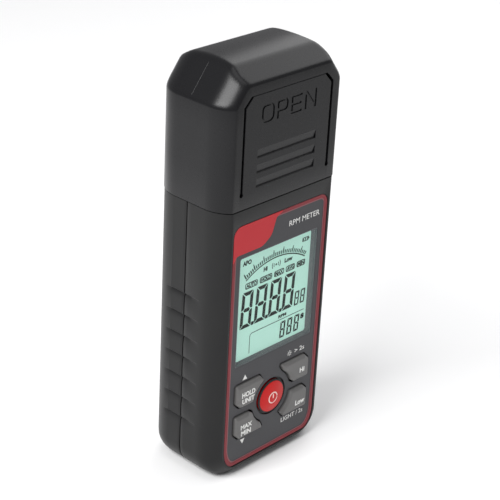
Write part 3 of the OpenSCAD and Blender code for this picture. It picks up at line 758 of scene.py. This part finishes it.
def lettering(lines, depth, weight=0.02, thick=0.03):
    """Flat closed letters of (text, x, z, height, across) lines, x and z at the lower left;
    weight thickens the strokes"""
    shapes = []
    for text, x, z, height, across in lines:
        curve = bpy.data.curves.new("letters", "FONT")
        curve.body, curve.extrude, curve.resolution_u = text, 0.02, 3
        curve.offset = weight
        holder = bpy.data.objects.new("letters", curve)
        bpy.context.scene.collection.objects.link(holder)
        bpy.context.view_layer.update()
        mesh = bpy.data.meshes.new_from_object(
            holder.evaluated_get(bpy.context.evaluated_depsgraph_get()))
        xs, zs = [v.co.x for v in mesh.vertices], [v.co.y for v in mesh.vertices]
        wide, tall = across / (max(xs) - min(xs)), height / (max(zs) - min(zs))
        shapes.append(([(x + (v.co.x - min(xs)) * wide, depth - math.copysign(thick / 2, v.co.z),
                         z + (v.co.y - min(zs)) * tall) for v in mesh.vertices],
                       [tuple(face.vertices) for face in mesh.polygons]))
        bpy.data.objects.remove(holder)
        bpy.data.meshes.remove(mesh)
    return together(*shapes)


def arc_band(a, b, r0, r1, start, stop, n=24):
    """Outline of part of a ring about (a, b), its angles in degrees"""
    angles = [math.radians(start + (stop - start) * k / n) for k in range(n + 1)]
    return ([(a + r1 * math.cos(t), b + r1 * math.sin(t)) for t in angles]
            + [(a + r0 * math.cos(t), b + r0 * math.sin(t)) for t in angles[::-1]])


def printed(outline, holes=(), depth=panel_y):
    """A printed mark, 0.03 mm thick so that it shows, on the surface at this depth"""
    return plate(outline, list(holes), depth, depth - 0.03)


# Legends, an arrow at each left key and a lamp symbol: a ring with eight dots round it.
# The white ink is thick and matt, so it stays clear at any angle
white_ink = finish("white screen-printed ink", ("dededb", "e9e9e6"), 0.5, 0.3, 0.003)
lamp_x, lamp_z, lamp_r = 9.2, 42.2, 1.05
panel_print = [lettering([("RPM METER", 4.4, 96.3, 2.1, 16.2), ("> 2s", 12.0, 41.2, 1.9, 5.4),
                          ("LIGHT / 2s", 6.8, 12.6, 1.9, 12.2)], panel_y, 0.006),
               printed([(-15.9, 40.3), (-13.5, 40.3), (-14.7, 42.3)]),
               printed([(-14.4, 12.4), (-13.2, 14.4), (-15.6, 14.4)]),
               printed(circle(lamp_x, lamp_z, 0.62, 20), [circle(lamp_x, lamp_z, 0.4, 20)])]
panel_print += [printed(circle(x, z, 0.17, 8)) for x, z in circle(lamp_x, lamp_z, lamp_r, 8)]
legends = loose("panel_legends", together(*panel_print))
dress(legends, white_ink, "body", "panel_grey")


# Display window of clear cast acrylic, set just below the panel's face in its opening.
# Its polished faces add a faint reflection, uneven as if wiped by hand.
window_clear = bpy.data.materials.new("polished clear acrylic")
window_clear.use_nodes = True
window_clear.node_tree.nodes.clear()
clear = add(window_clear, "BsdfTransparent", {"Color": colour("f4f9f7")})
gloss = add(window_clear, "BsdfGlossy", {"Color": colour("ffffff"), "Roughness": 0.08})
wipe = add(window_clear, "TexNoise", {
    "Vector": add(window_clear, "TexCoord").outputs["Object"], "Scale": 1 / (14 * MM)})
share = add(window_clear, "MapRange", {
    "Value": wipe.outputs["Fac"], "To Min": 0.014, "To Max": 0.022})
mixed = add(window_clear, "MixShader", {"Fac": share.outputs["Result"]})
window_clear.node_tree.links.new(clear.outputs["BSDF"], mixed.inputs[1])
window_clear.node_tree.links.new(gloss.outputs["BSDF"], mixed.inputs[2])
add(window_clear, "OutputMaterial", {"Surface": mixed.outputs["Shader"]})
window_gap = 0.4
window = loose("window_sheet", plate(
    box_outline(window_gap - window_half, window_half - window_gap, window_z[0] + window_gap,
                window_z[1] - window_gap, 0.6), [], panel_back_y, panel_y + 0.02, soft=0.08))
dress(window, window_clear, "body", "clear_window", "display_window")


# Grey ABS frame under the window; its four inner faces slope down to the glass, and a
# thin lip of it stands up round the window, between the window and the printed panel.
lcd_y, view_half, view_z = front_y + 2.0, 18.6, (48.1, 90.0)
frame_half, frame_z = 21.4, (45.6, 92.5)


def frame_ring(half, zs, y, r):
    """Rectangular ring of the frame with corners of radius r"""
    return [(x, y, z) for x, z in box_outline(-half, half, *zs, r)]


def frame_lip(m, y, r):
    """Ring of the frame's lip, m inside the opening in the panel"""
    return frame_ring(window_half - m, (window_z[0] + m, window_z[1] - m), y, r)


frame_rings = [
    frame_ring(frame_half, frame_z, lcd_y, 0.6),
    frame_ring(frame_half, frame_z, panel_back_y + 0.02, 0.6),
    frame_lip(0.05, panel_back_y + 0.02, 0.8), frame_lip(0.05, panel_y + 0.1, 0.8),
    frame_lip(0.3, panel_y + 0.06, 0.7), frame_lip(0.36, panel_y + 0.3, 0.7),
    frame_lip(0.36, panel_back_y + 0.1, 0.7),
    frame_ring(view_half + 0.12, (view_z[0] - 0.08, view_z[1] + 0.08), lcd_y - 0.2, 0.9),
    frame_ring(view_half, view_z, lcd_y - 0.1, 0.9), frame_ring(view_half, view_z, lcd_y, 0.9)]
lcd_frame = loose("lcd_surround", sweep(frame_rings, closed=True))
# Unpolished moulding: an even, dull mid grey
frame_abs = finish("grey moulded ABS", ("605f64", "69686d"), 0.55, 0.4, 0.006)
dress(lcd_frame, frame_abs, "body", "frame_grey", "lcd_frame")


# Display: a glass cell with a mint polariser film, faintly lit from behind, and all its
# segments shown. The liquid crystal's marks are thin dark plates on the film.
cell_low, cell_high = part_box("lcd_glass")
lcd_glass = loose("lcd_cell", plate(
    box_outline(cell_low.x / MM, cell_high.x / MM, cell_low.z / MM, cell_high.z / MM, 0.5), [],
    cell_high.y / MM, cell_low.y / MM + 0.02, soft=0.15))
# The film scatters light, so it looks even and chalky, with only a faint highlight
mint = finish("lit mint polariser film", ("b0d0c7", "bad9d0"), 0.45, 0.5, 0.002, patch=30,
              **{"Emission Color": colour("b4d6cd"), "Emission Strength": 0.4})
dress(lcd_glass, mint, "body", "lcd_mint", "lcd_glass")
lean = 0.06


def slanted(outline, x, z):
    """The outline moved to (x, z) and leant to the right, as the digits are"""
    return [(x + a + b * lean, z + b) for a, b in outline]


def digit(x, z, w, h, s, g):
    """The seven segments of an 8: s is their width and g the gap at their ends"""
    mid = h / 2
    left_up = [(0, mid + g), (s * 0.55, mid + g), (s, mid + s * 0.5 + g), (s, h - s - g),
               (0, h - g)]
    left_low = [(0, g), (s, s + g), (s, mid - s * 0.5 - g), (s * 0.55, mid - g), (0, mid - g)]
    right_up, right_low = [[(w - a, b) for a, b in part[::-1]] for part in (left_up, left_low)]
    low = [(g, 0), (w - g, 0), (w - s - g, s), (s + g, s)]
    high = [(g, h), (s + g, h - s), (w - s - g, h - s), (w - g, h)]
    bar = [(s + g, mid - s * 0.5), (w - s - g, mid - s * 0.5), (w - s * 0.62 - g, mid),
           (w - s - g, mid + s * 0.5), (s + g, mid + s * 0.5), (s * 0.62 + g, mid)]
    return [anticlockwise(slanted(part, x, z))
            for part in (left_up, left_low, right_up, right_low, low, high, bar)]


def lit(outline, holes=()):
    """A mark on the display's film"""
    return printed(outline, holes, lcd_y)


# Four large digits with their points, two small ones beside them and three below
segments = []
for x in (-17.3, -9.9, -2.5, 4.9):
    segments += digit(x, 61.0, 5.7, 14.6, 1.5, 0.24)
segments += [slanted(box_outline(-0.65, 0.65, 0, 1.4), x, 61.0) for x in (-10.7, -3.3, 4.1)]
for x, z in ((11.6, 60.8), (14.8, 60.8)):
    segments += digit(x, z, 2.4, 5.8, 0.62, 0.08)
for x in (4.5, 8.3, 12.1):
    segments += digit(x, 49.6, 2.7, 6.8, 0.78, 0.1)

# Curved scale over the digits: a bow with 34 spokes, of which the first six are lit, and
# the corner of the frame round the lower digits
bow_x, bow_z, bow_r, bow_turn, spokes, lit_spokes = 0.4, 56.4, 28.4, 33.0, 34, 6
segments += [arc_band(bow_x, bow_z, bow_r - 0.2, bow_r + 0.25, 90 - bow_turn, 90 + bow_turn, 40),
             box_outline(-11.7, -11.45, 49.4, 56.2), arc_band(-10.2, 56.2, 1.25, 1.5, 90, 180, 8),
             box_outline(-10.2, 17.4, 57.45, 57.7)]
faint = []
for k in range(spokes):
    a = 90 + bow_turn - 1.0 - (2 * bow_turn - 2.0) * k / (spokes - 1)
    long_spoke = k % 5 == 0
    reach = 3.2 if long_spoke else 2.3
    spoke = arc_band(bow_x, bow_z, bow_r + 0.55, bow_r + 0.55 + reach * 0.6, a - 0.55, a + 0.55, 2)
    (segments if k < lit_spokes else faint).append(spoke)
    if long_spoke:
        faint.append(arc_band(bow_x, bow_z, bow_r + 1.7, bow_r + reach, a - 0.35, a + 0.35, 2))
lcd_battery = box_outline(14.0, 17.4, 86.4, 88.0, 0.3)
alarm_x, alarm_z = 0.5, 81.8
tags = [("AUTO", -15.3, 6.4), ("HOLD", -7.8, 6.4), ("MAX", -0.3, 5.2), ("AVG", 5.9, 4.8),
        ("MIN", 11.7, 4.6)]
marks = [lettering([("APO", -17.1, 86.5, 1.9, 4.4), ("Hi", -6.1, 80.9, 1.8, 2.0),
                    ("Low", 4.9, 80.9, 1.8, 4.3), ("RPM", 3.4, 58.4, 1.3, 4.3),
                    ("s", 15.8, 53.8, 2.2, 1.9)]
                   + [(word, x + 0.5, 77.1, 1.6, w - 1.0) for word, x, w in tags],
                   lcd_y - 0.015, 0.05),
         lit(lcd_battery, [inset(lcd_battery, 0.3)]),
         *[lit(box_outline(14.45 + k, 14.95 + k, 86.8, 87.6)) for k in range(3)],
         lit(box_outline(17.42, 17.75, 86.9, 87.5)), lit(circle(alarm_x, alarm_z, 0.42, 16))]
for r in (1.1, 2.0):
    for middle in (0, 180):
        marks.append(lit(arc_band(alarm_x, alarm_z, r, r + 0.28, middle - 34, middle + 34, 8)))
for word, x, w in tags:
    tag = box_outline(x, x + w, 76.7, 79.1, 0.7)
    marks.append(lit(tag, [inset(tag, 0.34)]))
# Switched liquid crystal lets no light back: almost black, or grey where half switched
lcd_dark = finish("energised liquid crystal", ("06100e", "0b1714"), 0.5, 0.4, 0.001, specular=0.1)
lcd_grey = finish("half-lit liquid crystal", ("445e57", "516b63"), 0.5, 0.4, 0.001, specular=0.1)
dark = loose("lcd_segments", together(*map(lit, segments), *marks))
dress(dark, lcd_dark, "body", "lcd_mint")
grey = loose("lcd_scale", together(*map(lit, faint)))
dress(grey, lcd_grey, "body", "lcd_mint")


# Keys of hard ABS that stand proud of the panel on a silicone mat. The four grey ones
# have wide bevelled edges and printed legends; the red one is domed.
key_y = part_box("hold_key")[0].y / MM
key_lip_y, flange_t = wall_y + 0.35, 0.8
# Moulded keys: a satin mid grey, with a finer grain than the shells
key_grey = finish("grey moulded ABS key", ("5b5a59", "666564"), 0.42, 0.45, 0.006, patch=9)
key_words = {
    "hold_key": [("HOLD", -17.1, 33.6, 2.2, 6.9), ("UNIT", -16.9, 30.9, 2.1, 6.5)],
    "max_min_key": [("MAX", -17.0, 19.8, 1.95, 6.0), ("MIN", -16.7, 17.0, 2.1, 5.2)],
    "hi_key": [("Hi", 14.2, 32.3, 2.1, 2.6)], "low_key": [("Low", 12.9, 18.1, 2.2, 5.2)]}
# Section of a key from the flange under the shell to its face, as (depth, inset)
key_section = [(key_lip_y + flange_t, -key_flange), (key_lip_y, -key_flange), (key_lip_y, 0.0),
               (key_y + 0.95, 0.0), (key_y + 0.72, 0.06), (key_y + 0.58, 0.2),
               (key_y + 0.1, 1.0), (key_y + 0.02, 1.2), (key_y, 1.5)]
for name, shape in key_shapes.items():
    key = loose(name + "_cap", sweep([[(x, y, z) for x, z in rounded(shape(m))]
                                      for y, m in key_section]))
    dress(key, key_grey, name, "key_grey", name)
    word = loose(name + "_legend", lettering(key_words[name], key_y, 0.035))
    dress(word, white_ink, name, "key_grey")

# Power key: a shallow dome with a rounded edge; the ring and bar on it are printed
dome_r = 24.0


def dome_y(r):
    """Depth of the dome at radius r from its middle"""
    return key_y + dome_r - math.sqrt(dome_r ** 2 - r * r)


def about_power(profile, closed=False):
    """Shape turned about the power key's axis, from (radius, y) points"""
    return sweep([[(x, y, z) for x, z in circle(0, power_z, r, 64)] for r, y in profile], closed)


dome_edge = power_r - 0.4
rim_y = dome_y(dome_edge)
dome = [(r, dome_y(r)) for r in (dome_edge * (1 - k / 12) for k in range(12))]
power = loose("power_key_cap", about_power(
    [(0.05, key_lip_y + flange_t), (power_r + key_flange, key_lip_y + flange_t),
     (power_r + key_flange, key_lip_y), (power_r, key_lip_y), (power_r, rim_y + 0.45),
     (power_r - 0.12, rim_y + 0.15)] + dome + [(0.05, key_y)]))
# Red ABS from a smoother tool: a saturated red with a small soft highlight
key_red = finish("bright red moulded ABS", ("c00808", "cc100e"), 0.3, 0.5, 0.004, patch=6,
                 specular=0.22)
dress(power, key_red, "power_key", "key_red", "power_key")

# Black ring round the power key's side wall: painted shade, standing in for the shade in the gap
# round the key; dull, and darker than the shell
collar_r0, collar_r1 = power_r - 0.3, power_r + 0.35
collar = loose("power_key_collar", about_power([
    (collar_r0, rim_y + 0.6), (collar_r0, rim_y + 0.05), (collar_r0 + 0.12, rim_y - 0.04),
    (collar_r1 - 0.2, rim_y + 0.1), (collar_r1, rim_y + 0.35), (collar_r1, rim_y + 0.6)],
    closed=True))
# The collar's black is painted shade over the key's red side wall
collar_painted_shade = finish("black painted shade round the power key", ("0f0f10", "151516"), 0.6, 0.5, 0.004)
dress(collar, collar_painted_shade, "power_key", "silicone_grey")

# The symbol is made flat, between y 0 and -1, and then laid on the dome
points, faces = together(
    plate(arc_band(0, power_z - 0.3, 1.9, 2.4, 0, 352, 44), [], 0, -1),
    plate(box_outline(-0.26, 0.26, power_z - 0.5, power_z + 1.3, 0.2), [], 0, -1))
points = [(x, dome_y(math.hypot(x, z - power_z)) + (0.03 if y == 0 else -0.03), z)
          for x, y, z in points]
power_symbol = loose("power_symbol", (points, faces))
# Thin white ink over red, which tints it
pink_ink = finish("warm white screen-printed ink", ("e8c4bd", "f0d2cb"), 0.5, 0.3, 0.003)
dress(power_symbol, pink_ink, "power_key", "key_red")


# Battery door: a flat cover of the same moulded ABS, with five thumb grooves across it.
# It drops into its opening in the back and is held by one captive screw.
door = loose("battery_cover", plate(
    box_outline(-door_half, door_half, *door_z, 1.0), [], back_y, back_y - door_t, soft=0.3))
thumb_grooves = [plate(box_outline(-9, 9, 18 + 2.4 * i, 19.2 + 2.4 * i, 0.5), [], back_y - 0.5,
                       back_y + 1) for i in range(5)]
carve(door, plate(circle(0, door_screw_z, 2.95), [], back_y - 1.4, back_y + 1),
      plate(circle(0, door_screw_z, 1.3), [], back_y - 3, back_y), *thumb_grooves)
dress(door, shell_abs, "battery_door", "shell_black", "battery_door")


# AAA cells, side by side with the middle one turned over: each is a drawn steel can with
# a pressed button on top, in a printed shrink sleeve with a copper band.
def about_cell(profile, a, b, base, up):
    """Shape turned about an upright axis through (a, b), from (radius, z) points that are
    counted from the base, upwards or downwards"""
    return sweep([[(x, y, base + up * z) for x, y in circle(a, b, r, 48)] for r, z in profile])


# Shrunk film over a smooth can: two glossy printed colours, the band with metal flake
sleeve_film = finish("slate shrink sleeve", ("3b4652", "46525f"), 0.35, 0.4, 0.004, patch=9)
sleeve_band = finish("copper shrink sleeve", ("9c6a3c", "a87443"), 0.3, 0.4, 0.004, patch=9,
                     Metallic=0.4)
# Nickel plate on drawn steel: a bright, slightly warm mirror, blurred by drawing
can_steel = finish("drawn nickel-plated steel", ("b9b9b6", "cbcbc8"), 0.28, 0.3, 0.003,
                   Metallic=1.0)
can_top, band_z, sleeve_edge, sleeve_t, can_gap = 43.3, 33.0, 0.35, 0.11, 0.12
for n, up in ((1, 1), (2, -1), (3, 1)):
    node = f"battery_cell_{n}"
    low, high = [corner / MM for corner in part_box(node)]
    x, y, r = (low.x + high.x) / 2, (low.y + high.y) / 2, (high.x - low.x) / 2
    base = low.z if up > 0 else high.z
    can = loose(f"cell_{n}_can", about_cell(
        [(0.05, 0.25), (r - 1.6, 0.25), (r - 1.3, 0), (r - 0.5, 0), (r - can_gap, 0.4),
         (r - can_gap, can_top - 0.4), (r - 0.5, can_top), (3.4, can_top), (3.1, 43.1),
         (2.1, 43.1), (1.95, can_top), (1.9, 44.2), (1.6, 44.5), (0.05, 44.5)], x, y, base, up))
    dress(can, can_steel, "body", "cell_jacket", node)
    # The sleeve ends under the band, so only the band's top edge is rolled over
    for part, film, z0, z1, rolled in (("sleeve", sleeve_film, 0.2, band_z, 0.0),
                                       ("band", sleeve_band, band_z, can_top, sleeve_edge)):
        sleeve = loose(f"cell_{n}_{part}", about_cell(
            [(r - sleeve_t, z0), (r - sleeve_edge * 0.3, z0), (r, z0 + sleeve_edge),
             (r, z1 - rolled), (r - rolled * 0.3, z1), (r - sleeve_t, z1), (r - sleeve_t, z0)],
            x, y, base, up))
        dress(sleeve, film, "body", "cell_jacket")


# Electronics behind the panel: glass-epoxy boards under green solder resist, epoxy
# packages, a silicone key mat and the flexible lead that runs up to the optical head.
def carry(material, *nodes, edge=0.0):
    """Gives CAD nodes a material, and a fine edge radius in mm where edge is set"""
    for name in nodes:
        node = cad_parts[name]
        for place in node.material_slots:
            place.material = material
        if edge:
            bevel = node.modifiers.new("edge", "BEVEL")
            bevel.width, bevel.segments, bevel.limit_method = edge * MM, 2, "ANGLE"
            bevel.angle_limit = math.radians(40)


# Resist is a satin green, slightly uneven over the copper; epoxy and silicone are dull
resist = finish("green solder resist", ("14532f", "1c6a3e"), 0.35, 1.1, 0.02, patch=4)
epoxy = finish("moulded epoxy package", ("17171a", "222226"), 0.55, 0.25, 0.004)
silicone = finish("moulded silicone", ("7c7c78", "8a8a85"), 0.6, 0.5, 0.006)
carry(resist, "main_board", "sensor_board")
carry(epoxy, "microcontroller", "board_parts", "buzzer", "photodiode", edge=0.12)
carry(silicone, "keypad_mat", edge=0.2)
# Elastomer strip: dull pink in fine layers; light guide: milky; polyimide: a warm amber
carry(finish("zebra strip elastomer", ("caa398", "d8b2a6"), 0.6, 0.3, 0.006, patch=0.6),
      "lcd_connector", edge=0.1)
carry(finish("milky acrylic light guide", ("e4e4dc", "efefe8"), 0.35, 0.5, 0.002),
      "backlight_panel", edge=0.15)
carry(finish("amber polyimide film", ("a86a1c", "c4822a"), 0.35, 0.5, 0.003, patch=3),
      "sensor_flex")


# Optical head: a laser and a receiving lens in a black nylon holder, behind a window of
# red filter acrylic that is let into the opening at the top of the head.
def tinted(name, tint, roughness):
    """Clear acrylic moulding with faint flow marks, seen through its own colour"""
    return finish(name, (tint, tint), roughness, 0.8, 0.002, ior=1.49, spread=0.02,
                  **{"Transmission Weight": 0.92})


# Glass fibre dulls the black nylon; turned brass keeps a bright gold sheen
carry(finish("black glass-filled nylon", ("151517", "1e1e21"), 0.6, 0.45, 0.01), "lens_holder",
      edge=0.25)
carry(finish("turned brass", ("a5823a", "b8934a"), 0.25, 0.2, 0.004, Metallic=1.0), "laser_module",
      edge=0.15)
carry(tinted("polished optical acrylic", "e8f2f4", 0.05), "laser_lens", "receiver_lens")
optic_gap = 0.1
optic = loose("optic_window", plate(
    box_outline(optic_gap - optic_half, optic_half - optic_gap, optic_y[0] + optic_gap,
                optic_y[1] - optic_gap, 0.8), [], 144.7, 143.1, soft=0.15, to=along_z))
dress(optic, tinted("red filter acrylic", "a01820", 0.06), "body", "window_red",
      "optical_window")


# Battery contacts bent from nickel-plated spring steel, held by the walls of the bay, and
# the zinc-plated cross-head screws of the battery door and the housing.
# Nickel is bright and warm; zinc is greyer and a little cloudy
carry(finish("nickel-plated spring steel", ("b4b4b0", "cacac6"), 0.24, 0.3, 0.003, Metallic=1.0),
      "contact_springs", "contact_plates")
carry(finish("zinc-plated steel", ("8b8c8f", "a2a3a6"), 0.32, 0.35, 0.004, Metallic=1.0),
      "battery_screw", "housing_screws", edge=0.08)


# Studio: a pale floor, a small bright softbox on the left, a broad weak one on the right,
# one overhead and a pale surrounding. The camera stands at the front left, above the
# object, with a long lens.
floor_mesh = bpy.data.meshes.new("floor")
far = 6.0
floor_mesh.from_pydata([(-far, -far, 0), (far, -far, 0), (far, far, 0), (-far, far, 0)], [],
                       [(0, 1, 2, 3)])
floor = bpy.data.objects.new("floor", floor_mesh)
bpy.context.scene.collection.objects.link(floor)
floor.data.materials.append(finish("matt white paper", ("f4f4f4", "f6f6f6"), 0.9, 1.5, 0.01,
                                   patch=300))

world = bpy.data.worlds.new("studio")
bpy.context.scene.world = world
world.use_nodes = True
surrounding = world.node_tree.nodes["Background"].inputs
surrounding["Color"].default_value = colour("f2f2f4")
surrounding["Strength"].default_value = 0.42

# Each light stands at a distance from the object's middle and faces it
centre = Vector((0, 0, 0.08))
for name, direction, distance, size, watts in (
        ("left softbox", (-0.74, -0.02, 0.67), 1.0, (0.66, 0.4), 11),
        ("right softbox", (0.78, 0.14, 0.6), 1.0, (1.0, 0.7), 4),
        ("top softbox", (0, -0.1, 1), 1.2, (0.8, 0.8), 3)):
    light = bpy.data.lights.new(name, "AREA")
    light.shape, light.size, light.size_y, light.energy = "RECTANGLE", *size, watts
    lamp = bpy.data.objects.new(name, light)
    bpy.context.scene.collection.objects.link(lamp)
    lamp.location = centre + Vector(direction).normalized() * distance
    lamp.rotation_euler = Vector(direction).to_track_quat("Z", "Y").to_euler()

camera = bpy.data.objects.new("camera", bpy.data.cameras.new("camera"))
bpy.context.scene.collection.objects.link(camera)
azimuth, elevation, roll = (math.radians(a) for a in (47.32, 26.23, 3.03))
forward = Vector((math.sin(azimuth) * math.cos(elevation),
                  math.cos(azimuth) * math.cos(elevation), -math.sin(elevation)))
right = forward.cross(Vector((0, 0, 1))).normalized()
up = right.cross(forward)
across = math.cos(roll) * right + math.sin(roll) * up
upward = math.cos(roll) * up - math.sin(roll) * right
camera.matrix_world = Matrix.Translation((-0.3693, -0.3435, 0.3304)) @ Matrix(
    (across, upward, -forward)).transposed().to_4x4()
camera.data.lens, camera.data.sensor_width = 110.5, 36
bpy.context.scene.camera = camera
bpy.context.scene.view_settings.view_transform = "Standard"
